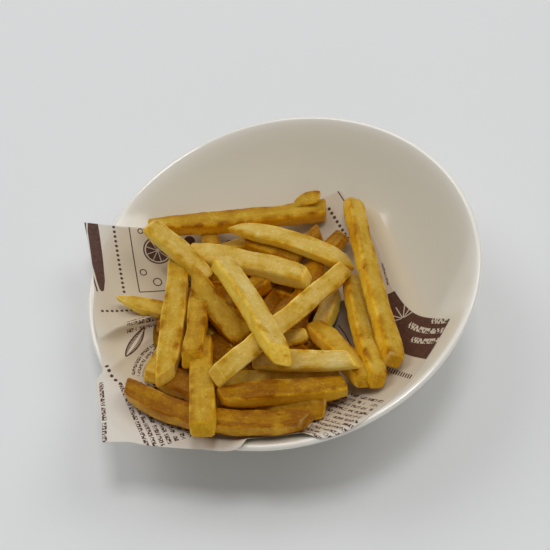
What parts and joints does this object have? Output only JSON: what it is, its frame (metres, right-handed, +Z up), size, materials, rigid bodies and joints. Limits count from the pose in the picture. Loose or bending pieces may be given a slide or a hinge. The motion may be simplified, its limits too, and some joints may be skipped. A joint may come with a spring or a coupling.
{
  "type": "french fries portion",
  "caption": "Portion of golden french fries heaped in a slanted white bowl that is lined with a sheet of printed greaseproof paper; it stands on a round foot ring.",
  "frame": {"origin": "on the table, under the middle of the whole part's box", "axes": "+Z up; +X towards the high side of the rim, -X towards the low side; +Y towards the empty side of the bowl, behind the heap"},
  "size_m": [0.2008, 0.2, 0.0673],
  "materials": {
    "bowl": "gloss glaze, off-white",
    "paper_liner": "thin greaseproof paper with a dark brown print",
    "fries": "fried potato, golden, slightly oily"
  },
  "bodies": {
    "root": {"bowl": "bowl", "paper_liner": "paper_liner", "fries": "fries"}
  },
  "joints": []
}
